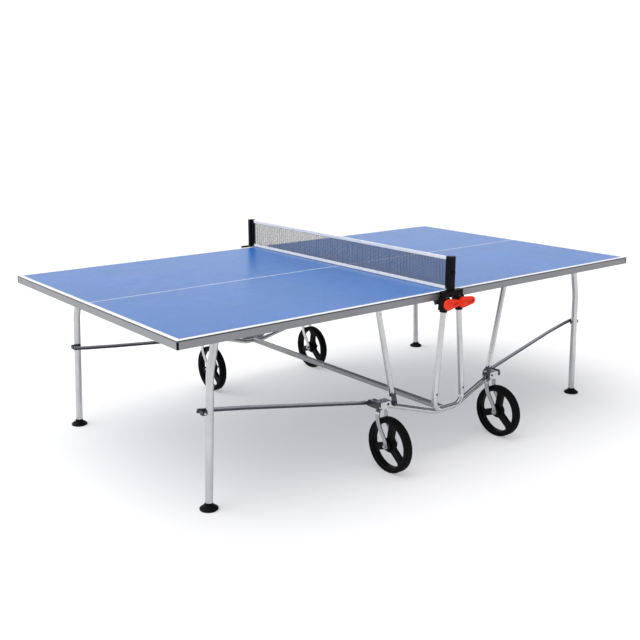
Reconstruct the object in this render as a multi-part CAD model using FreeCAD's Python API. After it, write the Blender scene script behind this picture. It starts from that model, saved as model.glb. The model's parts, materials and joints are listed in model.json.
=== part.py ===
import FreeCAD, Part
import math
import os

os.makedirs("parts", exist_ok=True)
V = FreeCAD.Vector

# ---------------------------------------------------------------- driving dimensions (mm)
# X along the table, Y across it, Z up. Everything is drawn about the floor point under the
# middle of the net, then moved by origin_shift_y, because the casters trail to one side and
# the origin is the middle of the whole footprint.
origin_shift_y = 43.5
table_length = 2740.0
table_width = 1525.0
table_height = 760.0
half_gap = 7.0             # gap between the two playing halves under the net
board_t = 6.0              # playing board
line_w = 20.0              # border lines
centre_line_w = 5.0
line_t = 0.5               # depth of the inlaid lines
edge_depth = 35.0          # playing surface to the lower edge of the apron
apron_t = 2.0
apron_flange = 26.0
apron_inset = 0.5          # apron face behind the board's edge
corner_cap = 7.0

frame_y = 785.0            # plane of the two U-frames
frame_ro, frame_ri = 13.0, 11.5
frame_x_ref, frame_z_ref = 50.0, 670.0
frame_slope = 0.0947       # outward lean of each U-leg, per unit of height
frame_bottom_z = 222.0
frame_bend = 45.0
frame_top_z = 751.0

arm_y = 728.0              # caster swivel axes
arm_x = 353.5
arm_ro, arm_ri = 12.5, 11.0
arm_mid_z = 207.0
arm_mid_x = 62.0
arm_end_z = 294.0
arm_bend = 90.0
cross_ro, cross_ri = 15.0, 13.5

pin_depth = 42.0           # fold pin below the playing surface
fold_zc = 282.0            # lower edge of a folded half above the floor
link_h = 22.0              # link's upper pivot below the playing surface
link_low = (302.0, 295.0)  # link's lower pivot on the caster bracket
link_ro, link_ri = 12.5, 11.0
link_y = 745.0
leg_pivot = (1112.0, 735.0)
leg_y = 612.0
leg_ro, leg_ri = 16.0, 14.5
leg_foot_x = 1171.0
leg_knee = (1148.0, 560.0)
leg_lug = (1178.0, 405.0)
strut_low = (363.4, 295.0)
strut_h, strut_t = 17.0, 5.0
strut_y_leg, strut_y_mid, strut_y_arm = 574.0, 590.3, 690.0
foot_r = 38.0

wheel_r = 124.0
wheel_trail = 56.0
tyre_w = 38.0
tread_in = 111.0
stem_r = 6.0
axle_r = 6.0

net_top = 912.5
net_band = 15.0
post_y = 776.5
post_x, post_t = 34.0, 24.0

# ---------------------------------------------------------------- derived linkage positions
g = half_gap / 2


def leg_x(z):
    return frame_x_ref + (frame_z_ref - z) * frame_slope


pin_z = table_height - pin_depth
pin_x = leg_x(pin_z)
lean = math.degrees(math.atan(frame_slope))


# ---------------------------------------------------------------- helpers
def box(x0, x1, y0, y1, z0, z1):
    return Part.makeBox(abs(x1 - x0), abs(y1 - y0), abs(z1 - z0),
                        V(min(x0, x1), min(y0, y1), min(z0, z1)))


def cyl(p, d, r, h):
    return Part.makeCylinder(r, h, V(*p), V(*d))


def ycyl(x, z, y0, y1, r):
    return Part.makeCylinder(r, abs(y1 - y0), V(x, min(y0, y1), z), V(0, 1, 0))


def xcyl(y, z, x0, x1, r):
    return Part.makeCylinder(r, abs(x1 - x0), V(min(x0, x1), y, z), V(1, 0, 0))


def zcyl(x, y, z0, z1, r):
    return Part.makeCylinder(r, abs(z1 - z0), V(x, y, min(z0, z1)), V(0, 0, 1))


def path(points, bend):
    pts = [V(*p) for p in points]
    out, at = [], pts[0]
    for i in range(1, len(pts) - 1):
        a = (pts[i - 1] - pts[i]).normalize()
        b = (pts[i + 1] - pts[i]).normalize()
        half = a.getAngle(b) / 2
        t = bend / math.tan(half)
        p, q = pts[i] + a * t, pts[i] + b * t
        m = (a + b).normalize()
        mid = pts[i] + m * (bend / math.sin(half) - bend)
        out.append(Part.LineSegment(at, p).toShape())
        out.append(Part.Arc(p, mid, q).toShape())
        at = q
    out.append(Part.LineSegment(at, pts[-1]).toShape())
    return Part.Wire(out)


def sweep(points, bend, r):
    if len(points) == 2:
        a, b = V(*points[0]), V(*points[1])
        return Part.makeCylinder(r, (b - a).Length, a, b - a)
    w = path(points, bend)
    d = (V(*points[1]) - V(*points[0])).normalize()
    ring = Part.Wire([Part.makeCircle(r, V(*points[0]), d)])
    return w.makePipeShell([ring], True, True)


def tube(points, bend, ro, ri, wall=1.5, wall2=None):
    """Round tube with closed ends, hollow inside."""
    a, b = V(*points[0]), V(*points[1])
    c, d = V(*points[-2]), V(*points[-1])
    first = a + (b - a).normalize() * wall
    last = d + (c - d).normalize() * (wall if wall2 is None else wall2)
    inner = [tuple(first)] + [tuple(p) for p in points[1:-1]] + [tuple(last)]
    return sweep(points, bend, ro).cut(sweep(inner, bend, ri))


def poly_y(pts, y0, y1):
    """Polygon in X, Z extruded along Y."""
    w = Part.makePolygon([V(x, min(y0, y1), z) for x, z in pts + [pts[0]]])
    return Part.Face(w).extrude(V(0, abs(y1 - y0), 0))


def rounded_bar(p, q, rp, rq, y0, y1):
    """Flat bar in X, Z with round ends, extruded along Y."""
    (x0, z0), (x1, z1) = p, q
    d = math.hypot(x1 - x0, z1 - z0)
    a = math.atan2(z1 - z0, x1 - x0)
    k = math.acos((rp - rq) / d)
    c = [(x0 + rp * math.cos(a + k), z0 + rp * math.sin(a + k)),
         (x1 + rq * math.cos(a + k), z1 + rq * math.sin(a + k)),
         (x1 + rq * math.cos(a - k), z1 + rq * math.sin(a - k)),
         (x0 + rp * math.cos(a - k), z0 + rp * math.sin(a - k))]
    s = poly_y(c, y0, y1).fuse(ycyl(x0, z0, y0, y1, rp)).fuse(ycyl(x1, z1, y0, y1, rq))
    return s.removeSplitter()


def far(s):
    return s.mirror(V(0, 0, 0), V(0, 1, 0))


def left(s):
    return s.mirror(V(0, 0, 0), V(1, 0, 0))


def turned(s):
    s = s.copy()
    s.rotate(V(0, 0, 0), V(0, 0, 1), 180)
    return s


def edges_along(s, axis, test=lambda m: True):
    found = []
    for e in s.Edges:
        if isinstance(e.Curve, Part.Line) and abs(abs(e.Curve.Direction.dot(axis)) - 1) < 1e-6:
            if test(e.valueAt((e.FirstParameter + e.LastParameter) / 2)):
                found.append(e)
    return found


def solids(*shapes):
    out = []
    for s in shapes:
        out += s.Solids
    return Part.makeCompound(out) if len(out) > 1 else out[0]


nodes = {}

# ---------------------------------------------------------------- base: two U-frames
def u_frame():
    xb, xt = leg_x(frame_bottom_z), leg_x(frame_top_z)
    pts = [(-xt, -frame_y, frame_top_z), (-xb, -frame_y, frame_bottom_z),
           (xb, -frame_y, frame_bottom_z), (xt, -frame_y, frame_top_z)]
    return tube(pts, frame_bend, frame_ro, frame_ri)


plug_z = 300.0
plug_r = 5.0
u_near = u_frame()
plugs = []
for s in (-1, 1):
    hole = cyl((s * leg_x(plug_z), -frame_y - frame_ro + 2.2, plug_z), (0, -1, 0), plug_r, 6)
    plug = hole.common(sweep([(s * leg_x(500), -frame_y, 500), (s * leg_x(250), -frame_y, 250)], 0, frame_ro))
    u_near = u_near.cut(plug)
    plugs.append(plug)
nodes["u_frames"] = solids(u_near, far(u_near))

# arms: one bent tube on each side, under the U, from bracket to bracket
arm_in_y = frame_y - math.sqrt((frame_ro + arm_ro) ** 2 - (frame_bottom_z - arm_mid_z) ** 2)
housing_r = 18.0
arm = tube([(-arm_x + 4, -arm_y, arm_end_z), (-arm_mid_x, -arm_in_y, arm_mid_z),
            (arm_mid_x, -arm_in_y, arm_mid_z), (arm_x - 4, -arm_y, arm_end_z)],
           arm_bend, arm_ro, arm_ri, wall=22.0)
for s in (-1, 1):
    arm = arm.cut(zcyl(s * arm_x, -arm_y, 200, 400, housing_r))
u_solid = sweep([(-leg_x(frame_top_z), -frame_y, frame_top_z), (-leg_x(frame_bottom_z), -frame_y, frame_bottom_z),
                 (leg_x(frame_bottom_z), -frame_y, frame_bottom_z), (leg_x(frame_top_z), -frame_y, frame_top_z)],
                frame_bend, frame_ro)
arm = arm.cut(u_solid)
nodes["base_arms"] = solids(arm, far(arm))

# long crossbar joining the two arm tubes
cross_z = arm_mid_z
arm_bar = xcyl(-arm_in_y, arm_mid_z, -80, 80, arm_ro)
cb = tube([(0, -arm_in_y, cross_z), (0, arm_in_y, cross_z)], 0, cross_ro, cross_ri, wall=20)
cb = cb.cut(arm_bar).cut(far(arm_bar))
cb = cb.cut(u_solid).cut(far(u_solid))
cb = max(cb.Solids, key=lambda q: q.Volume)
nodes["crossbar"] = cb

# caster brackets: inverted channel, swivel housing, pin for the strut, lug for the link
bx0, bx1 = 318.0, 380.0
by0, by1 = 705.5, 750.5
bz0, bz1 = 283.0, 310.0
sheet = 2.5
pin_end = 681.0


def bracket():
    top = box(bx0, bx1, -by1, -by0, bz1 - sheet, bz1)
    outer = box(bx0, bx1, -by1, -by1 + sheet, bz0, bz1)
    inner = box(bx0, bx1, -by0 - sheet, -by0, bz0, bz1)
    back = box(bx1 - sheet, bx1, -by1, -by0, bz0, bz1)
    lug = rounded_bar((bx0 + 20, link_low[1] + 1), link_low, 13, 13, -by1, -by1 + sheet)
    s = top.fuse([outer, inner, back, lug]).removeSplitter()
    s = s.fuse(zcyl(arm_x, -arm_y, bz0, bz1 - sheet, housing_r))
    pin = ycyl(strut_low[0], strut_low[1], -by0 - 0.5, -pin_end, 5.0)
    washer = ycyl(strut_low[0], strut_low[1], -pin_end, -pin_end + 3, 9.0)
    s = s.fuse([pin, washer])
    s = s.cut(zcyl(arm_x, -arm_y, bz0 - 1, bz0 + 30.0, stem_r + 0.05))
    return s.removeSplitter()


br = bracket()
nodes["caster_brackets"] = solids(br, far(br), left(br), left(far(br)))

# bolt heads on the brackets and flush plugs low on the U-legs
bolts = []
for x in (337.0,):
    bolts.append(ycyl(x, 297.0, -by1 - 0.6, -by1, 6.0).fuse(ycyl(x, 297.0, -by1 - 0.9, -by1 - 0.6, 4.0)))
one = solids(*bolts)
plug_n = solids(*plugs)
nodes["base_bolts"] = solids(one, far(one), left(one), left(far(one)), plug_n, far(plug_n))

# ---------------------------------------------------------------- net saddles, posts and net
sad_z0, sad_z1 = 739.0, 765.0
sad_x = 62.0
sad_in = 766.0
saddle = box(-sad_x, sad_x, -800.0, -sad_in, sad_z0, sad_z1)
saddle = saddle.makeFillet(8, edges_along(saddle, V(0, 0, 1)))
saddle = saddle.makeFillet(4, edges_along(saddle, V(1, 0, 0), lambda m: m.z > sad_z1 - 1))
saddle = saddle.cut(u_solid)
saddle = max(saddle.Solids, key=lambda q: q.Volume)
post = box(-post_x / 2, post_x / 2, -post_y - post_t / 2, -post_y + post_t / 2 - 1.5, sad_z1, net_top + 1.5)
post = post.makeFillet(4, edges_along(post, V(0, 0, 1)))
slot_y = post_y - post_t / 2 + 1.5
knob = ycyl(0, 842.0, -post_y - post_t / 2 - 7, -post_y - post_t / 2, 9.0)
nodes["net_saddles"] = solids(saddle, far(saddle))
nodes["net_posts"] = solids(post.fuse(knob).removeSplitter(), far(post.fuse(knob).removeSplitter()))

net_half = slot_y
net_bot = table_height + 3.0
band_t = 4.0
low_band = 14.0
top_band = box(-band_t / 2, band_t / 2, -net_half, net_half, net_top - net_band, net_top)
bot_band = box(-band_t / 2, band_t / 2, -net_half, net_half, net_bot, net_bot + low_band)
nodes["net_bands"] = solids(top_band, bot_band)
nodes["net_mesh"] = box(-0.6, 0.6, -net_half, net_half, net_bot + low_band, net_top - net_band)

# ---------------------------------------------------------------- right half (positive X)
x_in, x_out = g, table_length / 2
yw = table_width / 2
z_top, z_under = table_height, table_height - board_t
z_edge = table_height - edge_depth

board = box(x_in, x_out, -yw, yw, z_under, z_top)
board = board.makeFillet(4, edges_along(board, V(0, 0, 1)))
frame_lines = box(x_in, x_out, -yw, yw, z_top - line_t, z_top).common(board)
inner_field = box(x_in - 1, x_out - line_w, -yw + line_w, yw - line_w, z_top - 2, z_top + 1)
border = frame_lines.cut(inner_field)
centre = box(x_in, x_out - line_w, -centre_line_w / 2, centre_line_w / 2, z_top - line_t, z_top)
lines = border.fuse(centre).removeSplitter()
board = board.cut(lines)
cap_ = corner_cap
af = yw - apron_inset          # outer face of the side rails
xf = x_out - apron_inset       # outer face of the end rail


def rail_side():
    web = box(x_in + cap_, xf - cap_, -af, -af + apron_t, z_edge, z_under)
    fl = box(x_in + cap_, xf - cap_, -af, -af + apron_flange, z_under - apron_t, z_under)
    return web.fuse(fl).removeSplitter()


def rail_end(x, sgn):
    lo, hi = -af + apron_flange, af - apron_flange
    web = box(x, x - sgn * apron_t, -af + cap_, af - cap_, z_edge, z_under)
    fl = box(x, x - sgn * apron_flange, lo, hi, z_under - apron_t, z_under)
    s = web.fuse(fl).removeSplitter()
    keep = s.cut(rail_side()).cut(far(rail_side()))
    return keep


side = rail_side()
nodes_r = {}
nodes_r["board"] = board
nodes_r["court_lines"] = lines
nodes_r["apron_sides"] = solids(side, far(side))
nodes_r["apron_ends"] = solids(rail_end(xf, 1), rail_end(x_in, -1))


def corner(x, sgn):
    c = box(x, x - sgn * cap_, -af, -af + cap_, z_edge, z_under)
    inside = box(x - sgn * 2.6, x - sgn * (cap_ + 1), -af + 2.6, -af + cap_ + 1, z_edge - 1, z_under - 3)
    c = c.cut(inside)
    return c


ca, cb2 = corner(xf, 1), corner(x_in, -1)
nodes_r["corner_caps"] = solids(ca, far(ca), cb2, far(cb2))

# cross rails under the board (open hat section)
rails = []
for xr in (215.0, 620.0, 1010.0):
    r = box(xr - 22, xr + 22, -yw + 60, yw - 60, z_under - 18, z_under)
    r = r.cut(box(xr - 20, xr + 20, -yw + 62, yw - 62, z_under - 16, z_under + 1))
    rails.append(r)
nodes_r["cross_rails"] = solids(*rails)

# clevis that carries the upper end of the link
link_top_z = table_height - link_h
gz = fold_zc
fold_s = (gz + pin_x - g)                       # height of the fold pin when folded
slide_z = pin_z - fold_s
fold_px = leg_x(fold_s)
face_x = fold_px - pin_depth                    # playing face of the folded half
# upper link pivot: same distance from the lower pivot in both end positions
hx = face_x + link_h


def link_gap(p):
    d1 = (p - link_low[0]) ** 2 + (link_top_z - link_low[1]) ** 2
    d2 = (hx - link_low[0]) ** 2 + (gz + p - g - link_low[1]) ** 2
    return d1 - d2


lo, hi = 300.0, 500.0
for _ in range(80):
    mid = (lo + hi) / 2
    if link_gap(lo) * link_gap(mid) <= 0:
        hi = mid
    else:
        lo = mid
link_top_x = (lo + hi) / 2
link_top = (link_top_x, link_top_z)

lug_t = 3.0
web_in = af - apron_t
lug_out0 = web_in - lug_t
lug_in1 = link_y - 11.0
lug_a = rounded_bar(link_top, (link_top_x, link_top_z + 5), 11.01, 11.0, -web_in, -lug_out0)
lug_a = lug_a.fuse(box(link_top_x - 20, link_top_x + 20, -web_in, -lug_out0, link_top_z + 1, z_under - apron_t))
lug_b = rounded_bar(link_top, (link_top_x, link_top_z + 5), 11.01, 11.0, -lug_in1, -lug_in1 + lug_t)
lug_b = lug_b.fuse(box(link_top_x - 20, link_top_x + 20, -lug_in1, -lug_in1 + lug_t, link_top_z + 1, z_under))
link_pin = ycyl(link_top_x, link_top_z, -web_in, -lug_in1 + lug_t, 4.0)
clip = box(0, 1500, -yw, yw, 600, z_under - apron_t)
lugs = lug_a.fuse([lug_b, link_pin]).removeSplitter().common(clip)
nodes_r["link_lugs"] = solids(lugs, far(lugs))

# fold plate and fold pin: plate on the inside of the apron, pin reaching out to the slider
plate_t = 5.0
fp = poly_y([(pin_x - 15, z_under - apron_t), (pin_x + 55, z_under - apron_t), (pin_x + 30, pin_z - 14), (pin_x - 15, pin_z - 14)],
            -web_in, -web_in + plate_t)
pin = ycyl(pin_x, pin_z, -frame_y + frame_ro + 1.0, -web_in, 5.0)
fold = fp.fuse(pin).removeSplitter()
nodes_r["fold_plates"] = solids(fold, far(fold))

# brackets that carry the leg axle
axle_ro = 11.0
gx, gzv = leg_pivot


def leg_bracket():
    base = box(gx - 30, gx + 30, -leg_y - 32, -leg_y + 32, z_under - 2.5, z_under)
    s = base
    for y in (-leg_y - 28, -leg_y + 24):
        pl = poly_y([(gx - 28, z_under), (gx + 28, z_under), (gx + 17, gzv - 17), (gx - 17, gzv - 17)], y, y + 4)
        s = s.fuse(pl)
    s = s.cut(ycyl(gx, gzv, -leg_y - 40, -leg_y + 40, axle_ro + 0.05))
    return s.removeSplitter()


lb = leg_bracket()
nodes_r["leg_brackets"] = solids(lb, far(lb))

# ---------------------------------------------------------------- end legs of the right half
foot_top = 30.0
leg_pts = [(leg_foot_x - 0.042 * foot_top, -leg_y, foot_top), (leg_knee[0], -leg_y, leg_knee[1]), (gx, -leg_y, gzv)]
leg_t = tube(leg_pts, 250.0, leg_ro, leg_ri, wall=42.0, wall2=14.0)
seam_z = 399.0             # joint line between the leg tube and its lower sleeve
leg_run = math.hypot(leg_knee[0] - leg_pts[0][0], leg_knee[1] - foot_top)
leg_dir = ((leg_knee[0] - leg_pts[0][0]) / leg_run, (leg_knee[1] - foot_top) / leg_run)


def leg_point(z):
    return (leg_knee[0] + (z - leg_knee[1]) * leg_dir[0] / leg_dir[1], z)


axle_cyl = ycyl(gx, gzv, -leg_y - 31, leg_y + 31, axle_ro)
leg_t = leg_t.cut(axle_cyl)
leg_t = leg_t.cut(box(gx - 60, gx + 60, -leg_y - 30, -leg_y + 30, gzv + 15.0, gzv + 60))
leg_t = max(leg_t.Solids, key=lambda q: q.Volume)
stem_hole = zcyl(leg_foot_x, -leg_y, foot_top - 20, foot_top + 30, 5.05)
leg_t = leg_t.cut(stem_hole)
seam = leg_point(seam_z)
seam_ring = cyl((seam[0], -leg_y, seam[1]), (leg_dir[0], 0, leg_dir[1]), leg_ro + 2, 2.0)
seam_ring = seam_ring.cut(cyl((seam[0], -leg_y, seam[1]), (leg_dir[0], 0, leg_dir[1]), leg_ro - 0.6, 2.0))
leg_t = leg_t.cut(seam_ring)
axle = tube([(gx, -leg_y - 31, gzv), (gx, leg_y + 31, gzv)], 0, axle_ro, axle_ro - 1.5, wall=3)
nodes_r["leg_frame"] = solids(leg_t, far(leg_t), axle)

jx, jz = leg_lug
lug_in, lug_th = 593.0, 3.0
leg_env = sweep(leg_pts, 250.0, leg_ro)
lug_front = 615.0
plate1 = poly_y([(1146, jz - 13), (jx + 9, jz - 9), (jx + 9, jz + 9), (1146, jz + 13)], -lug_in - lug_th - 1.5, -lug_in)
plate2 = poly_y([(1160, jz - 9), (jx + 9, jz - 9), (jx + 9, jz + 9), (1160, jz + 9)], -lug_front, -lug_front + lug_th)
web = box(jx + 6, jx + 9, -lug_front, -lug_in, jz - 9, jz + 9)
bolt = ycyl(jx, jz, -lug_front - 1, -lug_in, 4.5).fuse(ycyl(jx, jz, -lug_front - 4, -lug_front, 6.5))
bolt = bolt.fuse(ycyl(jx, jz, -lug_in, -strut_y_leg - strut_t / 2 - 0.6, 7.0))
lugb = plate1.fuse([plate2, web, bolt]).removeSplitter().cut(leg_env)
lugb = max(lugb.Solids, key=lambda q: q.Volume)
nodes_r["leg_lugs"] = solids(lugb, far(lugb))


def foot():
    prof = [V(0, 0, 0), V(foot_r - 2, 0, 0), V(foot_r, 0, 2), V(foot_r, 0, 7), V(foot_r - 8, 0, 13), V(20, 0, 19),
            V(17, 0, 24), V(17, 0, foot_top - 2.5), V(5, 0, foot_top - 2.5), V(5, 0, foot_top + 26), V(0, 0, foot_top + 26), V(0, 0, 0)]
    f = Part.Face(Part.makePolygon(prof)).revolve(V(0, 0, 0), V(0, 0, 1), 360)
    f.translate(V(leg_foot_x, -leg_y, 0))
    return f


foot_n = foot()

# ---------------------------------------------------------------- links of the right half
ux, uz = link_top[0] - link_low[0], link_top[1] - link_low[1]
ul = math.hypot(ux, uz)
ux, uz = ux / ul, uz / ul


def on_link(d):
    return (link_low[0] + ux * d, link_low[1] + uz * d)


t0, t1 = on_link(50.0), on_link(ul - 9.0)
lk = tube([(t0[0], -link_y, t0[1]), (t1[0], -link_y, t1[1])], 0, link_ro, link_ri, wall=1.5, wall2=22.0)
lk = lk.fuse(ycyl(link_top[0], link_top[1], -link_y - 9.4, -link_y + 7.4, 11.0))
cut_a = ycyl(link_top[0], link_top[1], -link_y - 20, -link_y - 9.4, 30.0)
cut_b = ycyl(link_top[0], link_top[1], -link_y + 7.4, -link_y + 20, 30.0)
lk = lk.cut(cut_a).cut(cut_b).cut(ycyl(link_top[0], link_top[1], -link_y - 20, -link_y + 20, 4.05))
lk = max(lk.Solids, key=lambda q: q.Volume).removeSplitter()
nodes_r["links"] = solids(lk, far(lk))

c0, c1 = on_link(36.0), on_link(50.0)
cap = cyl((c0[0], -link_y, c0[1]), (ux, 0, uz), link_ro, 14.0)
tip = rounded_bar(link_low, on_link(48.0), 13.0, 12.0, -756.5, -751.5)
tip = tip.cut(sweep([(t0[0], -link_y, t0[1]), (t1[0], -link_y, t1[1])], 0, link_ro))
head = ycyl(link_low[0], link_low[1], -762.0, -756.5, 8.0)
le = cap.fuse([tip, head]).removeSplitter()
le = max(le.Solids, key=lambda q: q.Volume)
nodes_r["link_ends"] = solids(le, far(le))

# ---------------------------------------------------------------- struts of the right half
sx, sz = jx - strut_low[0], jz - strut_low[1]
sl = math.hypot(sx, sz)
sang = math.degrees(math.atan2(sz, sx))


def strut():
    h = strut_t / 2
    ya, yl = -strut_y_arm, -strut_y_leg
    line = [(0.0, ya), (sl - 210.0, -strut_y_mid), (sl - 60.0, yl), (sl + 11.0, yl)]
    up = [V(x, y + h, -strut_h / 2) for x, y in line]
    dn = [V(x, y - h, -strut_h / 2) for x, y in reversed(line)]
    s = Part.Face(Part.makePolygon(up + dn + [up[0]])).extrude(V(0, 0, strut_h))
    knuckle = cyl((0, ya - 14.5, 0), (0, 1, 0), 16.5, 20.5)
    block = box(0, 36, ya - 14.5, ya + 6, -14.0, 14.0)
    yoke = box(23.2, 36, -748.0, ya + 6, -14.0, 14.0)
    block = block.fuse(yoke).removeSplitter()
    block = block.makeFillet(4, edges_along(block, V(0, 1, 0), lambda m: m.x > 20))
    s = s.fuse([knuckle, block])
    s = s.fuse(cyl((sl, yl - h, 0), (0, 1, 0), 9.5, strut_t))
    s = s.fuse(cyl((sl, yl + h, 0), (0, 1, 0), 7.0, 4.5))
    s = s.cut(cyl((0, ya - 40, 0), (0, 1, 0), 5.05, 80))
    s.rotate(V(0, 0, 0), V(0, 1, 0), -sang)
    s.translate(V(strut_low[0], 0, strut_low[1]))
    return s.removeSplitter()


st = strut()
nodes_r["struts"] = solids(st, far(st))

# ---------------------------------------------------------------- slider blocks of the right half
blk_lo, blk_hi = -38.0, 18.0
blk_w, blk_in, blk_out = 42.0, 765.5, 804.5
boss_r, boss_out = 9.0, 821.0


def slider():
    b = box(-blk_w / 2, blk_w / 2, -blk_out, -blk_in, blk_lo, blk_hi)
    b = b.makeFillet(9, edges_along(b, V(0, 0, 1)))
    collar = zcyl(0, -frame_y, blk_lo - 8, blk_lo, 17.5)
    b = b.fuse(collar)
    b = b.cut(zcyl(0, -frame_y, -100, 100, frame_ro + 0.5))
    b.rotate(V(0, 0, 0), V(0, 1, 0), -lean)
    b.translate(V(pin_x, 0, pin_z))
    b = b.cut(ycyl(pin_x, pin_z, -frame_y + frame_ro + 0.6, -760, 5.05))
    b = b.fuse(ycyl(pin_x, pin_z - 9, -boss_out, -blk_out + 2, boss_r))
    env = sweep([(leg_x(600), -frame_y, 600), (leg_x(800), -frame_y, 800)], 0, frame_ro + 0.5)
    b = b.cut(env)
    return b.removeSplitter()


sb = slider()
nodes_r["slider_blocks"] = solids(sb, far(sb))

# ---------------------------------------------------------------- assemble the two halves
for k, s in nodes_r.items():
    nodes[k + "_right"] = s
    nodes[k + "_left"] = left(s)

# latch levers: paddle with a finger opening; each turns on the boss of its slider block
lev_y0, lev_y1 = -820.0, -806.0
lev_z = pin_z - 9


def lever(px, reach, r0, r1):
    tip = (px + reach, lev_z + 2)
    s = rounded_bar((px, lev_z), tip, r0, r1, lev_y0, lev_y1)
    try:
        s = s.makeFillet(3.0, [e for e in s.Edges if abs(e.BoundBox.YMin - lev_y0) < 0.01 and abs(e.BoundBox.YMax - lev_y0) < 0.01])
    except Exception:
        pass
    dish = rounded_bar((px + r0 + 6, lev_z + 1), (tip[0] + 1, lev_z + 2), 9.0, 8.0, lev_y0 - 1, lev_y0 + 5) if reach > 55 else \
        rounded_bar((px + r0 + 4, lev_z + 1), (tip[0] + 1, lev_z + 2), 6.0, 5.0, lev_y0 - 1, lev_y0 + 5)
    s = s.cut(dish)
    s = s.cut(ycyl(px, lev_z, lev_y0 - 5, lev_y1 + 5, boss_r + 0.05))
    return s


lev_r = lever(pin_x, 56.0, 24.5, 17.0)
lev_l = lever(-pin_x, 50.0, 24.5, 15.0)
nodes["latch_lever_near_right"] = lev_r
nodes["latch_lever_near_left"] = lev_l
nodes["latch_lever_far_left"] = turned(lev_r)
nodes["latch_lever_far_right"] = turned(lev_l)

# feet
nodes["foot_near_right"] = foot_n
nodes["foot_far_right"] = far(foot_n)
nodes["foot_near_left"] = left(foot_n)
nodes["foot_far_left"] = left(far(foot_n))


# ---------------------------------------------------------------- casters (all trail toward -Y)
fork_in, fork_t = 24.0, 4.5
fork_top = 277.0


def fork(cx, cy):
    w = fork_in + fork_t
    outer = box(-w, w, -110, 30, 90, fork_top)
    outer = outer.makeFillet(24, edges_along(outer, V(0, 1, 0), lambda m: m.z > fork_top - 1))
    inner = box(-fork_in, fork_in, -120, 40, 80, fork_top - fork_t)
    inner = inner.makeFillet(19.5, edges_along(inner, V(0, 1, 0), lambda m: m.z > fork_top - fork_t - 1))
    strap = outer.cut(inner)
    hz, hy = wheel_r, -wheel_trail
    b1 = Part.BSplineCurve()
    b1.interpolate([V(0, 13, 256), V(0, 8, 226), V(0, -8, 190), V(0, -31, 157), V(0, hy + 11, hz + 7)])
    b2 = Part.BSplineCurve()
    b2.interpolate([V(0, hy - 11.5, hz + 4), V(0, -54, 160), V(0, -31, 196), V(0, -16, 228), V(0, -13, 256)])
    pts = b1.discretize(9)
    pts2 = b2.discretize(9)
    e = [V(0, 13, 290)] + pts + pts2 + [V(0, -13, 290), V(0, 13, 290)]
    face = Part.Face(Part.makePolygon(e))
    side_ = face.extrude(V(2 * w + 4, 0, 0))
    side_.translate(V(-w - 2, 0, 0))
    side_ = side_.fuse(xcyl(hy, hz, -w - 2, w + 2, 13.0))
    strap = strap.common(side_).removeSplitter()
    stem = zcyl(0, 0, fork_top, fork_top + 32, stem_r)
    ring = zcyl(0, 0, fork_top, fork_top + 5.6, 14.0)
    axle_b = xcyl(hy, hz, -w - 1, w + 1, axle_r).fuse(xcyl(hy, hz, -w - 6, -w, 9.5)).fuse(xcyl(hy, hz, w, w + 6, 9.5))
    strap = strap.cut(axle_b)
    strap = strap.fuse([stem, ring]).removeSplitter()
    out = []
    for s in (strap, axle_b.removeSplitter()):
        s.translate(V(cx, cy, 0))
        out.append(s)
    return solids(*out)


def wheel(cx, cy):
    y, z = cy - wheel_trail, wheel_r
    web = xcyl(y, z, -9, 9, 102)
    ring = xcyl(y, z, -16, 16, tread_in).cut(xcyl(y, z, -20, 20, 100))
    hub = xcyl(y, z, -22, 22, 23)
    slot = xcyl(y, z, -12, 12, 98).cut(xcyl(y, z, -13, 13, 33))
    for k in range(3):
        sp = box(-13, 13, -16, 16, 0, 105)
        sp.rotate(V(0, 0, 0), V(1, 0, 0), 9 + 120 * k)
        sp.translate(V(0, y, z))
        slot = slot.cut(sp)
    holes = []
    for s in slot.Solids:
        try:
            s = s.makeFillet(11, [e for e in s.Edges if isinstance(e.Curve, Part.Line) and abs(abs(e.Curve.Direction.x) - 1) < 1e-6])
        except Exception:
            pass
        holes.append(s)
    rim = web.fuse([ring, hub]).removeSplitter()
    for s in holes:
        rim = rim.cut(s)
    rim = rim.cut(xcyl(y, z, -30, 30, axle_r + 0.05))
    tyre = xcyl(y, z, -tyre_w / 2, tyre_w / 2, wheel_r)
    tyre = tyre.makeFillet(7, [e for e in tyre.Edges if isinstance(e.Curve, Part.Circle)])
    tyre = tyre.cut(xcyl(y, z, -30, 30, tread_in))
    for s in (rim, tyre):
        s.translate(V(cx, 0, 0))
    return rim, tyre


for name, cx, cy in (("near_right", arm_x, -arm_y), ("near_left", -arm_x, -arm_y),
                     ("far_right", arm_x, arm_y), ("far_left", -arm_x, arm_y)):
    nodes["caster_fork_" + name] = fork(cx, cy)
    rim, tyre = wheel(cx, cy)
    nodes["wheel_rim_" + name] = rim
    nodes["wheel_tyre_" + name] = tyre

print("nodes", len(nodes))
print("pin", pin_x, pin_z, "folded", fold_px, fold_s, "face", face_x, "slide", math.hypot(slide_z, slide_z * frame_slope))
print("link_top", link_top, "length", ul, "strut", sl, sang)
for n in nodes:
    nodes[n] = nodes[n].copy()
    nodes[n].translate(V(0, origin_shift_y, 0))
for n, s in nodes.items():
    bad = [q for q in s.Solids if not q.isValid()]
    if bad or not s.Solids:
        print("BAD", n, len(s.Solids), len(bad))
    s.exportStep("parts/%s.step" % n)
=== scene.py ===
import json
import math
import bpy
import bmesh
from mathutils import Vector, Matrix, Quaternion


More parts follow.
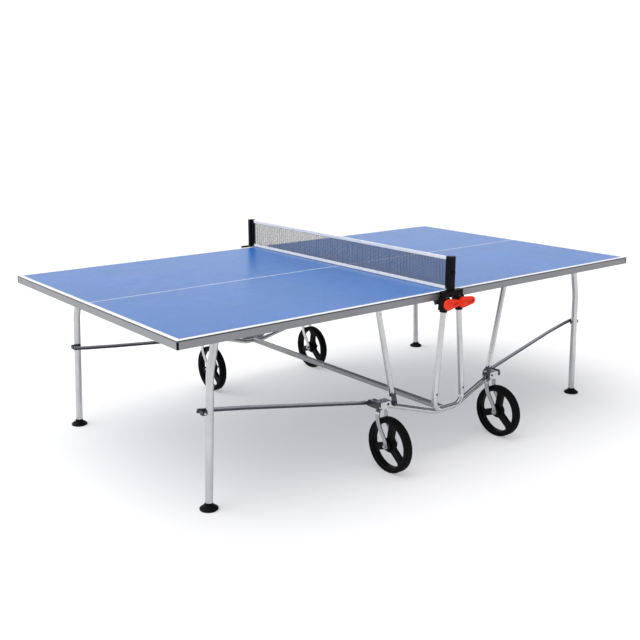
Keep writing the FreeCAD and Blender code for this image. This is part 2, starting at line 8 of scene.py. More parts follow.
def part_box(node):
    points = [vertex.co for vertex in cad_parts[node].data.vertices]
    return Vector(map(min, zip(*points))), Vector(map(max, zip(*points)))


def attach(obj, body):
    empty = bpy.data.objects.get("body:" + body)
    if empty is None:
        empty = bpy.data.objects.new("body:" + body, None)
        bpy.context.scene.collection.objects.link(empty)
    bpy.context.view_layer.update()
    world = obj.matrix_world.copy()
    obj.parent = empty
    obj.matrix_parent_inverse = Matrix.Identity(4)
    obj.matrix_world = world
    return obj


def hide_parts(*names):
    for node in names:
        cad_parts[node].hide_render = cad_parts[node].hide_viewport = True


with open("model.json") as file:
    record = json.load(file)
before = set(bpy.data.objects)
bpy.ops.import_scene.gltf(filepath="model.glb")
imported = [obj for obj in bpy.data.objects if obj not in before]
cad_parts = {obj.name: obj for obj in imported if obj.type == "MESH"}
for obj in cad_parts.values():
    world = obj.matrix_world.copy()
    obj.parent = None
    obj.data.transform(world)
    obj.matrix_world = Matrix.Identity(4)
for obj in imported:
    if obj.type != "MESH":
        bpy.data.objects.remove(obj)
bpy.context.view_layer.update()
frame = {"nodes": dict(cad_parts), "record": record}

nodes = frame["nodes"]
scene = bpy.context.scene
SY = 0.0435  # the table's long centre line
CAM_P = (-2.894279, -3.445586, 1.604497)
CAM_AZ, CAM_EL, CAM_F = 38.495, -13.984, 906.87
W_BASE, W_LEFT, W_TOP, W_RIGHT = 0.50, 0.70, 0.42, 0.30
SUN_ANGLE, SUN_E, SUN_FROM = 75.0, 1.45, (-0.35, 0.30, 0.89)


# ------------------------------------------------------------------ materials
class M:
    """A small builder for node materials. Everything is laid out in object space, in metres."""

    def __init__(self, name):
        self.m = bpy.data.materials.new(name)
        self.m.use_nodes = True
        self.t = self.m.node_tree
        self.t.nodes.clear()
        self.out = self.t.nodes.new("ShaderNodeOutputMaterial")
        self.b = self.t.nodes.new("ShaderNodeBsdfPrincipled")
        self.t.links.new(self.b.outputs[0], self.out.inputs[0])
        self.co = self.t.nodes.new("ShaderNodeTexCoord")
        self.normal = None

    def link(self, a, b):
        self.t.links.new(a, b)

    def mapped(self, scale=(1, 1, 1), rot=(0, 0, 0), src="Object"):
        n = self.t.nodes.new("ShaderNodeMapping")
        n.inputs["Scale"].default_value = scale
        n.inputs["Rotation"].default_value = rot
        self.link(self.co.outputs[src], n.inputs["Vector"])
        return n.outputs[0]

    def noise(self, scale, detail=3.0, rough=0.55, vec=None, distort=0.0):
        n = self.t.nodes.new("ShaderNodeTexNoise")
        n.inputs["Scale"].default_value = scale
        n.inputs["Detail"].default_value = detail
        n.inputs["Roughness"].default_value = rough
        n.inputs["Distortion"].default_value = distort
        self.link(vec if vec is not None else self.co.outputs["Object"], n.inputs["Vector"])
        return n.outputs["Fac"]

    def voronoi(self, scale, vec=None, feature="F1"):
        n = self.t.nodes.new("ShaderNodeTexVoronoi")
        n.feature = feature
        n.inputs["Scale"].default_value = scale
        self.link(vec if vec is not None else self.co.outputs["Object"], n.inputs["Vector"])
        return n.outputs["Distance"]

    def wave(self, scale, vec=None, kind="BANDS", direction="X", distort=0.0, detail=0.0):
        n = self.t.nodes.new("ShaderNodeTexWave")
        n.wave_type = kind
        if kind == "BANDS":
            n.bands_direction = direction
        n.inputs["Scale"].default_value = scale
        n.inputs["Distortion"].default_value = distort
        n.inputs["Detail"].default_value = detail
        self.link(vec if vec is not None else self.co.outputs["Object"], n.inputs["Vector"])
        return n.outputs["Fac"]

    def math(self, op, a, b=None, clamp=False):
        n = self.t.nodes.new("ShaderNodeMath")
        n.operation = op
        n.use_clamp = clamp
        for i, v in enumerate((a, b)):
            if v is None:
                continue
            if isinstance(v, (int, float)):
                n.inputs[i].default_value = v
            else:
                self.link(v, n.inputs[i])
        return n.outputs[0]

    def ramp(self, fac, stops):
        n = self.t.nodes.new("ShaderNodeValToRGB")
        e = n.color_ramp.elements
        while len(e) < len(stops):
            e.new(0.5)
        for el, (p, c) in zip(e, stops):
            el.position = p
            el.color = (c[0], c[1], c[2], 1) if not isinstance(c, (int, float)) else (c, c, c, 1)
        self.link(fac, n.inputs[0])
        return n.outputs[0]

    def mix(self, fac, a, b, blend="MIX"):
        n = self.t.nodes.new("ShaderNodeMix")
        n.data_type = "RGBA"
        n.blend_type = blend
        for sock, v in ((n.inputs["Factor"], fac), (n.inputs["A"], a), (n.inputs["B"], b)):
            pass
        f = [i for i in n.inputs if i.name == "Factor" and i.type == "VALUE"][0]
        A = [i for i in n.inputs if i.name == "A" and i.type == "RGBA"][0]
        B = [i for i in n.inputs if i.name == "B" and i.type == "RGBA"][0]
        for sock, v in ((f, fac), (A, a), (B, b)):
            if isinstance(v, (int, float)):
                sock.default_value = v
            elif isinstance(v, tuple):
                sock.default_value = (*v, 1) if len(v) == 3 else v
            else:
                self.link(v, sock)
        return [o for o in n.outputs if o.type == "RGBA"][0]

    def color(self, sock):
        self.link(sock, self.b.inputs["Base Color"])

    def rough(self, fac, lo, hi):
        n = self.t.nodes.new("ShaderNodeMapRange")
        n.inputs["To Min"].default_value = lo
        n.inputs["To Max"].default_value = hi
        self.link(fac, n.inputs["Value"])
        self.link(n.outputs[0], self.b.inputs["Roughness"])

    def bump(self, height, strength, distance):
        n = self.t.nodes.new("ShaderNodeBump")
        n.inputs["Strength"].default_value = strength
        n.inputs["Distance"].default_value = distance
        self.link(height, n.inputs["Height"])
        if self.normal is not None:
            self.link(self.normal, n.inputs["Normal"])
        self.normal = n.outputs[0]
        self.link(self.normal, self.b.inputs["Normal"])

    def set(self, **kw):
        for k, v in kw.items():
            self.b.inputs[k.replace("_", " ")].default_value = v
        return self


def sh(c, k):
    return tuple(max(0.0, min(1.0, x * k)) for x in c)


def make_board():
    m = M("playing_board_blue")
    base = (0.023, 0.156, 0.50)
    big = m.noise(2.2, 4.0, 0.5)
    fine = m.noise(900.0, 2.0, 0.6)
    c1 = m.ramp(big, [(0.3, sh(base, 0.93)), (0.7, sh(base, 1.07))])
    c2 = m.ramp(fine, [(0.35, (0.93, 0.93, 0.93)), (0.65, (1.07, 1.07, 1.07))])
    sep = m.t.nodes.new("ShaderNodeSeparateXYZ")
    m.link(m.co.outputs["Object"], sep.inputs[0])
    off = m.math("ABSOLUTE", m.math("SUBTRACT", sep.outputs["Y"], SY))
    edge = m.math("MAXIMUM", m.math("GREATER_THAN", off, 0.7621), m.math("GREATER_THAN", m.math("ABSOLUTE", sep.outputs["X"]), 1.3696))
    # below the top face the board's own blue is darkened to navy as painted shade (the colour named back below)
    underside_painted_shade = m.math("LESS_THAN", sep.outputs["Z"], 0.7543)
    dark = m.ramp(big, [(0.3, (0.010, 0.011, 0.016)), (0.7, (0.018, 0.019, 0.026))])
    back = m.ramp(big, [(0.3, (0.028, 0.052, 0.125)), (0.7, (0.038, 0.066, 0.150))])
    top = m.mix(1.0, c1, c2, "MULTIPLY")
    m.color(m.mix(edge, m.mix(underside_painted_shade, top, back), dark))
    scuff = m.noise(14.0, 6.0, 0.7, distort=0.6)
    m.rough(scuff, 0.26, 0.40)
    m.bump(fine, 0.12, 0.0006)
    m.set(Specular_IOR_Level=0.72)
    return m.m


def make_line():
    m = M("court_line_white")
    n = m.noise(60.0, 5.0, 0.65)
    m.color(m.ramp(n, [(0.3, (0.80, 0.82, 0.85)), (0.7, (0.92, 0.93, 0.95))]))
    m.rough(n, 0.38, 0.55)
    m.bump(m.noise(900.0, 2.0, 0.6), 0.1, 0.0005)
    return m.m


def make_apron():
    m = M("apron_silver_coat")
    base = (0.27, 0.275, 0.29)
    flake = m.noise(1800.0, 2.0, 0.7)
    cloud = m.noise(3.0, 4.0, 0.55)
    c1 = m.ramp(cloud, [(0.3, sh(base, 0.92)), (0.7, sh(base, 1.08))])
    c2 = m.ramp(flake, [(0.3, (0.86, 0.86, 0.87)), (0.7, (1.12, 1.12, 1.12))])
    col = m.mix(1.0, c1, c2, "MULTIPLY")
    rub = m.noise(7.0, 8.0, 0.75, vec=m.mapped((1, 1, 6)), distort=0.3)
    mask = m.ramp(rub, [(0.62, 0.0), (0.72, 1.0)])
    col = m.mix(m.math("MULTIPLY", mask, 0.35), col, (0.58, 0.585, 0.6))
    m.color(col)
    m.rough(cloud, 0.36, 0.5)
    m.bump(flake, 0.08, 0.0004)
    m.set(Metallic=0.55)
    return m.m


def make_tube(name="tube_silver", base=(0.53, 0.532, 0.54), metallic=0.92, lo=0.12, hi=0.24):
    m = M(name)
    cloud = m.noise(9.0, 5.0, 0.6)
    streak = m.noise(60.0, 4.0, 0.6, vec=m.mapped((8, 8, 0.6)))
    c1 = m.ramp(cloud, [(0.3, sh(base, 0.9)), (0.7, sh(base, 1.06))])
    c2 = m.ramp(streak, [(0.3, (0.92, 0.92, 0.93)), (0.7, (1.05, 1.05, 1.05))])
    col = m.mix(1.0, c1, c2, "MULTIPLY")
    rub = m.ramp(m.noise(28.0, 8.0, 0.75, distort=0.5), [(0.64, 0.0), (0.74, 1.0)])
    col = m.mix(m.math("MULTIPLY", rub, 0.4), col, sh(base, 0.7))
    m.color(col)
    m.rough(streak, lo, hi)
    m.bump(m.noise(700.0, 2.0, 0.6), 0.05, 0.0003)
    m.set(Metallic=metallic)
    return m.m


def make_strut():
    m = M("strut_plated_steel")
    base = (0.13, 0.132, 0.145)
    cloud = m.noise(9.0, 5.0, 0.6)
    streak = m.noise(60.0, 4.0, 0.6, vec=m.mapped((0.6, 8, 8)))
    c1 = m.ramp(cloud, [(0.3, sh(base, 0.88)), (0.7, sh(base, 1.08))])
    c2 = m.ramp(streak, [(0.3, (0.88, 0.88, 0.9)), (0.7, (1.06, 1.06, 1.06))])
    col = m.mix(1.0, c1, c2, "MULTIPLY")
    sep = m.t.nodes.new("ShaderNodeSeparateXYZ")
    m.link(m.co.outputs["Object"], sep.inputs[0])
    end = m.ramp(m.math("ABSOLUTE", sep.outputs["X"]), [(0.4010, 1.0), (0.4030, 0.0)])
    dark = m.ramp(cloud, [(0.3, (0.018, 0.019, 0.024)), (0.7, (0.034, 0.036, 0.044))])
    # height of a point above the strut's own middle line, for a painted highlight on the upper half and painted
    # shade on the lower half
    line = m.math("ADD", m.math("MULTIPLY", m.math("SUBTRACT", m.math("ABSOLUTE", sep.outputs["X"]), 0.3634), 0.13504), 0.295)
    up = m.math("SUBTRACT", sep.outputs["Z"], line)
    painted_highlight_and_shade = m.ramp(m.math("ADD", m.math("MULTIPLY", up, 40.0), 0.5), [(0.46, (0.42, 0.42, 0.45)), (0.66, (2.3, 2.3, 2.3))])
    col = m.mix(1.0, col, painted_highlight_and_shade, "MULTIPLY")
    m.color(m.mix(end, col, dark))
    m.rough(streak, 0.2, 0.36)
    m.link(m.math("MULTIPLY", m.math("SUBTRACT", 1.0, end), 0.85), m.b.inputs["Metallic"])
    m.bump(m.noise(700.0, 2.0, 0.6), 0.05, 0.0003)
    return m.m


def make_dark():
    m = M("dark_steel_coat")
    n = m.noise(40.0, 6.0, 0.7)
    col = m.ramp(n, [(0.3, (0.022, 0.024, 0.034)), (0.7, (0.045, 0.048, 0.062))])
    rub = m.ramp(m.noise(55.0, 8.0, 0.8, distort=0.8), [(0.66, 0.0), (0.74, 1.0)])
    m.color(m.mix(m.math("MULTIPLY", rub, 0.5), col, (0.20, 0.21, 0.24)))
    m.rough(n, 0.28, 0.5)
    m.bump(m.noise(1200.0, 2.0, 0.6), 0.15, 0.0003)
    m.set(Metallic=0.35)
    return m.m


def make_black(name="black_plastic_grain", base=0.0032, lo=0.38, hi=0.55):
    m = M(name)
    grain = m.voronoi(900.0)
    cloud = m.noise(12.0, 5.0, 0.6)
    col = m.ramp(cloud, [(0.3, (base, base, base * 1.1)), (0.7, (base * 1.9, base * 1.9, base * 2.05))])
    dust = m.ramp(m.noise(35.0, 7.0, 0.75), [(0.6, 0.0), (0.78, 1.0)])
    m.color(m.mix(m.math("MULTIPLY", dust, 0.3), col, (0.022, 0.022, 0.024)))
    m.rough(cloud, lo, hi)
    m.bump(grain, 0.18, 0.0004)
    m.set(Specular_IOR_Level=0.07)
    return m.m


def make_tyre():
    m = M("tyre_rubber_black")
    cloud = m.noise(20.0, 6.0, 0.65)
    col = m.ramp(cloud, [(0.3, (0.0028, 0.0028, 0.003)), (0.7, (0.0065, 0.0065, 0.007))])
    dust = m.ramp(m.noise(45.0, 8.0, 0.8), [(0.58, 0.0), (0.8, 1.0)])
    m.color(m.mix(m.math("MULTIPLY", dust, 0.45), col, (0.015, 0.0145, 0.014)))
    m.rough(cloud, 0.62, 0.85)
    # fine cross ribs round the tread, laid out as an angle about the wheel's own middle
    g = m.mapped((1, 1, 1), src="Generated")
    sep = m.t.nodes.new("ShaderNodeSeparateXYZ")
    m.link(g, sep.inputs[0])
    y = m.math("SUBTRACT", sep.outputs["Y"], 0.5)
    z = m.math("SUBTRACT", sep.outputs["Z"], 0.5)
    ang = m.math("ARCTAN2", z, y)
    rib = m.math("SINE", m.math("MULTIPLY", ang, 84.0))
    rad = m.math("SQRT", m.math("ADD", m.math("MULTIPLY", y, y), m.math("MULTIPLY", z, z)))
    edge = m.ramp(rad, [(0.462, 0.0), (0.476, 1.0)])
    m.bump(m.math("MULTIPLY", rib, edge), 0.55, 0.0012)
    m.bump(m.noise(900.0, 2.0, 0.6), 0.2, 0.0004)
    m.set(Specular_IOR_Level=0.06)
    return m.m


def make_orange():
    m = M("orange_moulded_plastic")
    cloud = m.noise(18.0, 4.0, 0.55)
    col = m.ramp(cloud, [(0.3, (0.84, 0.022, 0.002)), (0.7, (0.98, 0.040, 0.003))])
    scuff = m.ramp(m.noise(70.0, 8.0, 0.8, distort=0.6), [(0.66, 0.0), (0.76, 1.0)])
    m.color(m.mix(m.math("MULTIPLY", scuff, 0.35), col, (0.98, 0.11, 0.02)))
    m.rough(cloud, 0.3, 0.45)
    m.bump(m.noise(1100.0, 2.0, 0.6), 0.12, 0.0003)
    m.set(Specular_IOR_Level=0.2)
    return m.m


def make_tape():
    m = M("net_tape_white_weave")
    w1 = m.wave(420.0, vec=m.mapped((1, 1, 1), (0.0, 0.0, 0.0)), direction="Y")
    w2 = m.wave(420.0, direction="Z")
    weave = m.math("MAXIMUM", w1, w2)
    n = m.noise(30.0, 5.0, 0.6)
    c1 = m.ramp(n, [(0.3, (0.78, 0.78, 0.80)), (0.7, (0.90, 0.90, 0.91))])
    c2 = m.ramp(weave, [(0.2, (0.86, 0.86, 0.87)), (0.9, (1.0, 1.0, 1.0))])
    m.color(m.mix(1.0, c1, c2, "MULTIPLY"))
    m.rough(n, 0.75, 0.92)
    m.bump(weave, 0.5, 0.0005)
    m.set(Sheen_Weight=0.25, Sheen_Roughness=0.5)
    return m.m


def make_net():
    m = M("net_thread_dark")
    n = m.noise(90.0, 5.0, 0.6)
    col = m.ramp(n, [(0.3, (0.040, 0.039, 0.038)), (0.7, (0.074, 0.071, 0.070))])
    twist = m.wave(900.0, vec=m.mapped((1, 1, 1), (0.6, 0.0, 0.0)), direction="Z")
    c2 = m.ramp(twist, [(0.2, (0.75, 0.75, 0.77)), (0.8, (1.1, 1.1, 1.1))])
    m.color(m.mix(1.0, col, c2, "MULTIPLY"))
    m.rough(n, 0.7, 0.9)
    m.bump(twist, 0.6, 0.0004)
    m.set(Specular_IOR_Level=0.15)
    return m.m


mats = {
    "board": make_board(), "line_white": make_line(), "apron_grey": make_apron(), "steel_tube": make_tube(), "strut_steel": make_strut(),
    "dark_steel": make_dark(), "black_plastic": make_black(), "tyre_rubber": make_tyre(),
    "orange_plastic": make_orange(), "band_white": make_tape(), "net_grey": make_net(),
}
dull = make_tube("crossbar_silver_paint", base=(0.34, 0.342, 0.35), metallic=0.55, lo=0.42, hi=0.58)
slot_of = {s["node"]: s["material_slot"] for s in frame["record"]["subparts"]}
for name, o in nodes.items():
    mat = dull if name == "crossbar" else mats[slot_of[name]]
    o.data.materials.clear()
    o.data.materials.append(mat)


def add(name, verts, faces, mat, body, smooth=True):
    me = bpy.data.meshes.new(name)
    me.from_pydata(verts, [], faces)
    me.validate()
    me.update()
    o = bpy.data.objects.new(name, me)
    scene.collection.objects.link(o)
    me.materials.append(mats[mat])
    if smooth:
        for p in me.polygons:
            p.use_smooth = True
    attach(o, body)
    return o


# ------------------------------------------------------------------ net
lo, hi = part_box("net_mesh")
blo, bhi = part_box("net_bands")
y0, y1 = lo.y, hi.y
z0, z1 = lo.z, hi.z
pitch = 0.0064
tw = 0.0010  # half the thread's width


def strand(verts, faces, pts, side, up, r, flat=0.75):
    """A four-sided thread through pts, closed at both ends."""
    k = len(verts)
    for p in pts:
        verts += [p + side * r, p + up * r * flat, p - side * r, p - up * r * flat]
    n = len(pts)
    for i in range(n - 1):
        a = k + 4 * i
        for j in range(4):
            faces.append((a + j, a + (j + 1) % 4, a + 4 + (j + 1) % 4, a + 4 + j))
    faces.append((k + 3, k + 2, k + 1, k))
    e = k + 4 * (n - 1)
    faces.append((e, e + 1, e + 2, e + 3))


nv = int(round((y1 - y0) / pitch))
nh = int(round((z1 - z0) / pitch))
py, pz = (y1 - y0) / nv, (z1 - z0) / nh
V_, F_ = [], []
amp = 0.0005
for i in range(nv):
    y = y0 + (i + 0.5) * py
    pts = []
    for j in range(-1, nh + 1):
        zz = z0 + (j + 0.5) * pz
        zz = min(max(zz, z0 - 0.004), z1 + 0.004)
        s = 1 if (i + j) % 2 else -1
        wob = 0.0001 * math.sin(i * 1.7 + j * 0.9) + 0.0007 * math.sin(i * 2.1) + 0.0004 * math.sin(i * 0.37)
        pts.append(Vector((amp * s, y + wob, zz)))
    strand(V_, F_, pts, Vector((0, 1, 0)), Vector((1, 0, 0)), tw * (1.95, 1.15, 1.35)[i % 3])
for j in range(nh):
    zb = z0 + (j + 0.5) * pz
    pts = []
    for i in range(nv + 1):
        y = y0 + i * py
        s = -1 if (i + j) % 2 else 1
        y = min(max(y, y0), y1)
        wob = 0.0002 * math.sin(j * 2.3 + i * 0.61)
        pts.append(Vector((0.0003 * s, y, zb + wob)))
    strand(V_, F_, pts, Vector((0, 0, 1)), Vector((1, 0, 0)), tw * 0.72)
net = add("net_threads", V_, F_, "net_grey", "base", smooth=False)
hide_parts("net_mesh")


def tape(name, za, zb, cord_at_top, r=0.0021, gap=0.0009):
    """A strip folded over a cord: one open sheet, its two free edges stitched together."""
    prof = []
    h = zb - za
    n = 10
    if cord_at_top:
        zc = zb - r - 0.0002
        prof.append((gap, za))
        for k in range(1, 5):
            t = k / 5
            prof.append((gap + (r - gap) * t * t * (3 - 2 * t), za + (zc - za) * t))
        for k in range(n + 1):
            a = math.pi * k / n
            prof.append((r * math.cos(a), zc + r * math.sin(a)))
        for k in range(4, 0, -1):
            t = k / 5
            prof.append((-(gap + (r - gap) * t * t * (3 - 2 * t)), za + (zc - za) * t))
        prof.append((-gap, za))
    else:
        zc = za + r + 0.0002
        prof.append((gap, zb))
        for k in range(1, 5):
            t = k / 5
            prof.append((gap + (r - gap) * t * t * (3 - 2 * t), zb + (zc - zb) * t))
        for k in range(n + 1):
            a = math.pi * k / n
            prof.append((r * math.cos(a), zc - r * math.sin(a)))
        for k in range(4, 0, -1):
            t = k / 5
            prof.append((-(gap + (r - gap) * t * t * (3 - 2 * t)), zb + (zc - zb) * t))
        prof.append((-gap, zb))
    N = 260
    verts, faces = [], []
    for i in range(N + 1):
        y = y0 + (y1 - y0) * i / N
        pucker = 0.00025 * math.sin(i * 2.1) + 0.0002 * math.sin(i * 0.83 + 1.0)
        for x, z in prof:
            edge = abs(z - (za if cord_at_top else zb)) / h
            verts.append(Vector((x + pucker * (1 - edge) * (1 if x > 0 else -1) * 0.5, y, z + pucker * (1 - edge))))
    k = len(prof)
    for i in range(N):
        for j in range(k - 1):
            a = i * k + j
            faces.append((a, a + 1, a + k + 1, a + k))
    o = add(name, verts, faces, "band_white", "base")
    s = o.modifiers.new("cloth", "SOLIDIFY")
    s.thickness = 0.0004
    s.offset = 0.0
    width = sum(math.dist(prof[q], prof[q + 1]) for q in range(k - 1))
    return o, width


top_tape, wt = tape("net_tape_top", bhi.z - 0.0165, bhi.z - 0.0002, True)
low_tape, wl = tape("net_tape_bottom", blo.z + 0.0002, blo.z + 0.0155, False)
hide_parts("net_bands")


def stitches(name, z, x):
    verts, faces = [], []
    n = int((y1 - y0) / 0.006)
    for s in (-1, 1):
        for i in range(n):
            y = y0 + (i + 0.5) * (y1 - y0) / n
            k = len(verts)
            L, r = 0.0019, 0.0004
            for yy, rr in ((-L, r * 0.3), (-L * 0.5, r), (L * 0.5, r), (L, r * 0.3)):
                for a in range(6):
                    t = a * math.pi / 3
                    verts.append(Vector((s * x + rr * math.cos(t), y + yy, z + rr * math.sin(t))))
            for q in range(3):
                for a in range(6):
                    faces.append((k + q * 6 + a, k + q * 6 + (a + 1) % 6, k + q * 6 + 6 + (a + 1) % 6, k + q * 6 + 6 + a))
            faces.append(tuple(k + a for a in range(5, -1, -1)))
            faces.append(tuple(k + 18 + a for a in range(6)))
    return add(name, verts, faces, "band_white", "base")


st_top = stitches("net_stitches_top", bhi.z - 0.0142, 0.00125)
st_low = stitches("net_stitches_bottom", blo.z + 0.0132, 0.00125)


# ------------------------------------------------------------------ small fittings
class Mesh:
    """Collects verts and faces of several small turned or cut parts in one piece."""

    def __init__(self):
        self.v, self.f = [], []

    def turned(self, origin, axis, prof, n=24, start=None):
        """Revolves prof, a list of (radius, distance along the axis), about an axis."""
        ax = Vector(axis).normalized()
        side = (start or (Vector((0, 0, 1)) if abs(ax.z) < 0.9 else Vector((1, 0, 0)))).cross(ax).normalized()
        up = ax.cross(side)
        k = len(self.v)
        o = Vector(origin)
        for r, d in prof:
            for a in range(n):
                t = 2 * math.pi * a / n
                self.v.append(o + ax * d + (side * math.cos(t) + up * math.sin(t)) * r)
        for i in range(len(prof) - 1):
            for a in range(n):
                b = (a + 1) % n
                self.f.append((k + i * n + a, k + i * n + b, k + (i + 1) * n + b, k + (i + 1) * n + a))
        self.f.append(tuple(k + a for a in range(n - 1, -1, -1)))
        e = k + (len(prof) - 1) * n
        self.f.append(tuple(e + a for a in range(n)))

    def hex_head(self, origin, axis, af, h, washer):
        """A hexagon head with chamfered corners on a round washer."""
        self.turned(origin, axis, [(washer - 0.0006, 0), (washer, 0.0003), (washer, 0.0012), (washer - 0.0004, 0.0016)], 28)
        r = af / math.sqrt(3)
        self.turned(Vector(origin) + Vector(axis).normalized() * 0.0016, axis,
                    [(r, 0.0), (r, h - 0.0008), (r * 0.88, h)], 6)

    def block(self, pts, faces):
        k = len(self.v)
        self.v += [Vector(p) for p in pts]
        self.f += [tuple(k + i for i in f) for f in faces]

    def make(self, name, mat, body, smooth=False):
        return add(name, self.v, self.f, mat, body, smooth=smooth)


rib_faces = [(0, 1, 3, 2), (4, 6, 7, 5), (0, 4, 5, 1), (2, 3, 7, 6), (0, 2, 6, 4), (1, 5, 7, 3)]
for side, k in (("left", -1), ("right", 1)):
    for end, j in (("near", -1), ("far", 1)):
        tag = end + "_" + side
        cx, cy = k * 0.3535, j * 0.728 + SY
        # bolts on the caster bracket
        m_ = Mesh()
        m_.hex_head((k * 0.329, cy, 0.3100), (0, 0, 1), 0.010, 0.0040, 0.0080)
        m_.hex_head((cx, cy, 0.3100), (0, 0, 1), 0.011, 0.0030, 0.0090)
        # low rivet, so the strut's yoke clears it
        m_.turned((k * 0.3685, cy, 0.3098), (0, 0, 1), [(0.0050, 0), (0.0050, 0.0006), (0.0042, 0.0016), (0.0024, 0.0022), (0.0004, 0.0024)], 24)
        m_.make("bracket_bolts_" + tag, "steel_tube", "base")
        # axle nuts
        m_ = Mesh()
        for s_ in (-1, 1):
            m_.hex_head((cx + s_ * 0.0345, cy - 0.056, 0.124), (s_, 0, 0), 0.011, 0.0048, 0.0078)
        m_.make("axle_nuts_" + tag, "steel_tube", "caster_" + tag)
        # raised ribs on both walls of the tyre, valve-side marks left out
        m_ = Mesh()
        wy_, wz_ = cy - 0.056, 0.124
        nr = 54
        for s_ in (-1, 1):
            for a in range(nr):
                t = 2 * math.pi * a / nr
                pts = []
                for x_, w_ in ((0.0186, 0.00115), (0.0197, 0.0007)):
                    for r_, dx in ((0.1135, 0.0), (0.1168, 0.0)):
                        for q in (-1, 1):
                            tt = t + q * w_ / r_
                            pts.append((cx + s_ * (x_ + dx), wy_ + r_ * math.cos(tt), wz_ + r_ * math.sin(tt)))
                f_ = rib_faces if s_ > 0 else [tuple(reversed(q)) for q in rib_faces]
                m_.block(pts, f_)
        m_.make("tyre_ribs_" + tag, "tyre_rubber", "wheel_" + tag)
        # hub rings on the wheel
        m_ = Mesh()
        for s_ in (-1, 1):
            ring = []
            for r_, d_ in ((0.0300, 0.0088), (0.0300, 0.0102), (0.0288, 0.0112), (0.0262, 0.0112), (0.0250, 0.0102), (0.0250, 0.0088)):
                ring.append((r_, d_))
            n_ = 48
            base_ = len(m_.v)
            for r_, d_ in ring:
                for a in range(n_):
                    t = 2 * math.pi * a / n_
                    m_.v.append(Vector((cx + s_ * d_, wy_ + r_ * math.cos(t), wz_ + r_ * math.sin(t))))
            L_ = len(ring)
            for q in range(L_):
                q2 = (q + 1) % L_
                for a in range(n_):
                    b_ = (a + 1) % n_
                    fc = (base_ + q * n_ + a, base_ + q * n_ + b_, base_ + q2 * n_ + b_, base_ + q2 * n_ + a)
                    m_.f.append(fc if s_ > 0 else tuple(reversed(fc)))
        m_.make("hub_rings_" + tag, "black_plastic", "wheel_" + tag, smooth=True)
        # bolt head on the leg lug
        m_ = Mesh()
        m_.turned((k * 1.178, j * 0.6190 + SY, 0.405), (0, j, 0), [(0.0056, 0), (0.0056, 0.0008), (0.0046, 0.0022), (0.0026, 0.0030), (0.0005, 0.0033)], 24)
        m_.make("lug_bolt_" + tag, "steel_tube", "legs_" + side, smooth=True)
        # domed cap over the pivot of the latch lever
        m_ = Mesh()
        px = k * 0.0454544
        m_.turned((px, j * 0.8201 + SY, 0.709), (0, j, 0),
                  [(0.0118, -0.0004), (0.0118, 0.0012), (0.0110, 0.0022), (0.0090, 0.0030), (0.0055, 0.0036), (0.0006, 0.0038)], 32)
        m_.make("lever_cap_" + tag, "orange_plastic", "latch_" + tag, smooth=True)
        # ribbed ring round the adjustable foot
        m_ = Mesh()
        fx, fy = k * 1.171, j * 0.612 + SY
        for a in range(28):
            t = 2 * math.pi * a / 28
            c_, s2 = math.cos(t), math.sin(t)
            pts = []
            for z_, r0_, r1_ in ((0.0195, 0.0168, 0.0186), (0.0262, 0.0168, 0.0180)):
                for r_ in (r0_, r1_):
                    for q in (-1, 1):
                        w_ = 0.0011 if r_ == r0_ else 0.0006
                        pts.append((fx + r_ * c_ - q * w_ * s2, fy + r_ * s2 + q * w_ * c_, z_))
            m_.block(pts, [tuple(reversed(q)) for q in rib_faces])
        m_.make("foot_grip_" + tag, "black_plastic", "foot_body_" + tag)

# a pair of jaws on each post that hold the end of the net, with their screws
for end, j in (("near", -1), ("far", 1)):
    m_ = Mesh()
    for s_ in (-1, 1):
        x0_, x1_ = 0.0032, 0.0078
        ya_, yb_ = 0.7502, 0.7648
        c_ = 0.0011
        za_, zb_ = 0.7665, bhi.z + 0.0012
        prof_ = [(x0_, ya_ + c_), (x0_ + c_ * 0.7, ya_), (x1_ - c_, ya_), (x1_, ya_ + c_), (x1_, yb_), (x0_, yb_)]
        rows = [(za_ + c_ * 0.6, 0.0006), (za_ + c_, 0.0), (zb_ - c_, 0.0), (zb_, 0.0009)]
        base_ = len(m_.v)
        mx_, my_ = (x0_ + x1_) / 2, (ya_ + yb_) / 2
        for z_, inset_ in rows:
            for x_, y_ in prof_:
                dx = inset_ * (1 if x_ < mx_ else -1)
                dy = inset_ * (1 if y_ < my_ else -1)
                m_.v.append(Vector((s_ * (x_ + dx), j * (y_ + dy) + SY, z_)))
        n_ = len(prof_)
        flip = s_ * j < 0
        for q in range(len(rows) - 1):
            for a in range(n_):
                b_ = (a + 1) % n_
                fc = (base_ + q * n_ + a, base_ + q * n_ + b_, base_ + (q + 1) * n_ + b_, base_ + (q + 1) * n_ + a)
                m_.f.append(tuple(reversed(fc)) if flip else fc)
        low_ = tuple(base_ + a for a in range(n_ - 1, -1, -1))
        top_ = tuple(base_ + (len(rows) - 1) * n_ + a for a in range(n_))
        m_.f.append(tuple(reversed(low_)) if flip else low_)
        m_.f.append(tuple(reversed(top_)) if flip else top_)
        for z_ in (0.785, 0.838, 0.892):
            m_.turned((s_ * 0.0076, j * 0.7575 + SY, z_), (s_, 0, 0), [(0.0031, 0.0), (0.0031, 0.0009), (0.0024, 0.0016), (0.0004, 0.0018)], 16)
    m_.make("net_jaws_" + end, "black_plastic", "base")

# stitched loops and cord ends where the net meets the posts
for end, j in (("near", -1), ("far", 1)):
    m_ = Mesh()
    for z_ in (bhi.z - 0.0025, blo.z + 0.0025):
        m_.turned((0, j * 0.7655 + SY, z_), (0, j, 0), [(0.0017, -0.012), (0.0017, 0.0008)], 14)
        m_.turned((0, j * 0.7645 + SY, z_), (0, j, 0), [(0.0026, 0.0), (0.0032, 0.0004), (0.0032, 0.0014), (0.0026, 0.0018)], 18)
    m_.make("net_cord_ends_" + end, "band_white", "base", smooth=True)


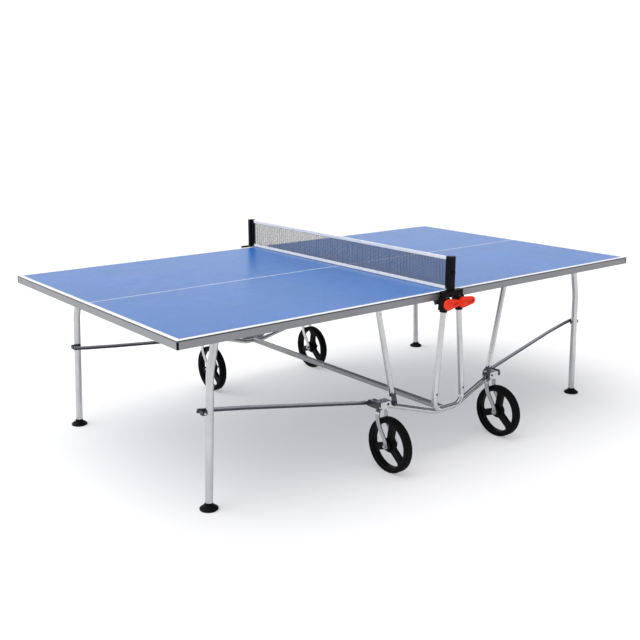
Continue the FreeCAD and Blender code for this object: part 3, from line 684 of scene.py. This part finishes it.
# ------------------------------------------------------------------ stage, light and camera
fl = bpy.data.meshes.new("floor")
S = 60.0
fl.from_pydata([(-S, -S, 0), (S, -S, 0), (S, S, 0), (-S, S, 0)], [], [(0, 1, 2, 3)])
floor = bpy.data.objects.new("floor", fl)
scene.collection.objects.link(floor)
fm = bpy.data.materials.new("floor_white")
fm.use_nodes = True
fb = fm.node_tree.nodes["Principled BSDF"]
fb.inputs["Base Color"].default_value = (0.69, 0.69, 0.70, 1)
fb.inputs["Emission Color"].default_value = (1.0, 1.0, 1.0, 1)
fb.inputs["Emission Strength"].default_value = 0.32
fb.inputs["Roughness"].default_value = 1.0
fb.inputs["Specular IOR Level"].default_value = 0.0
fl.materials.append(fm)

world = bpy.data.worlds.new("studio")
scene.world = world
world.use_nodes = True
wt_ = world.node_tree
bg = wt_.nodes["Background"]


def wnode(kind, **kw):
    n = wt_.nodes.new(kind)
    for k, v in kw.items():
        setattr(n, k, v)
    return n


def wmath(op, a_, b_):
    n = wnode("ShaderNodeMath", operation=op)
    for i, v in enumerate((a_, b_)):
        if isinstance(v, (int, float)):
            n.inputs[i].default_value = v
        else:
            wt_.links.new(v, n.inputs[i])
    return n.outputs[0]


def wramp(v, lo_, hi_, to0, to1):
    n = wnode("ShaderNodeMapRange", interpolation_type="SMOOTHSTEP")
    for name_, val in (("From Min", lo_), ("From Max", hi_), ("To Min", to0), ("To Max", to1)):
        n.inputs[name_].default_value = val
    wt_.links.new(v, n.inputs["Value"])
    return n.outputs[0]


wco = wnode("ShaderNodeTexCoord")
wsep = wnode("ShaderNodeSeparateXYZ")
wt_.links.new(wco.outputs["Generated"], wsep.inputs[0])
wx, wy, wz = wsep.outputs[0], wsep.outputs[1], wsep.outputs[2]
# a white wall behind the table, a bright side on the left, a dim side towards the viewer
back = wramp(wmath("ADD", wmath("MULTIPLY", wx, 0.622), wmath("MULTIPLY", wy, 0.783)), 0.35, 0.8, 0.0, 1.0)
back = wmath("MULTIPLY", back, wramp(wz, 0.13, 0.30, 1.0, 0.0))
left_ = wramp(wmath("ADD", wmath("MULTIPLY", wx, -0.93), wmath("MULTIPLY", wy, 0.36)), 0.2, 0.9, 0.0, 1.0)
up_ = wramp(wz, 0.35, 0.95, 0.0, 1.0)
right_ = wramp(wmath("ADD", wmath("MULTIPLY", wx, 0.90), wmath("MULTIPLY", wy, -0.44)), 0.25, 0.85, 1.0, W_RIGHT)
lvl = wmath("MULTIPLY", W_BASE, right_)
lvl = wmath("ADD", lvl, wmath("MULTIPLY", back, 1.35 - W_BASE))
lvl = wmath("ADD", lvl, wmath("MULTIPLY", left_, W_LEFT))
lvl = wmath("ADD", lvl, wmath("MULTIPLY", up_, W_TOP))
wt_.links.new(lvl, bg.inputs["Strength"])
bg.inputs["Color"].default_value = (1.0, 1.0, 1.0, 1)

sun_d = bpy.data.lights.new("softbox", "SUN")
sun_d.angle = math.radians(SUN_ANGLE)
sun_d.energy = SUN_E
sun = bpy.data.objects.new("softbox", sun_d)
sun.rotation_mode = "QUATERNION"
sun.rotation_quaternion = Vector(SUN_FROM).to_track_quat("Z", "Y")
scene.collection.objects.link(sun)

cam_d = bpy.data.cameras.new("camera")
cam = bpy.data.objects.new("camera", cam_d)
scene.collection.objects.link(cam)
cam_d.sensor_width = 36.0
cam_d.lens = CAM_F * 36.0 / 640.0
az, el = math.radians(CAM_AZ), math.radians(CAM_EL)
fwd = Vector((math.sin(az) * math.cos(el), math.cos(az) * math.cos(el), math.sin(el)))
cam.location = CAM_P
cam.rotation_mode = "QUATERNION"
cam.rotation_quaternion = fwd.to_track_quat("-Z", "Y")
cam_d.clip_start, cam_d.clip_end = 0.1, 200
scene.camera = cam
scene.view_settings.view_transform = "Standard"
scene.view_settings.look = "None"
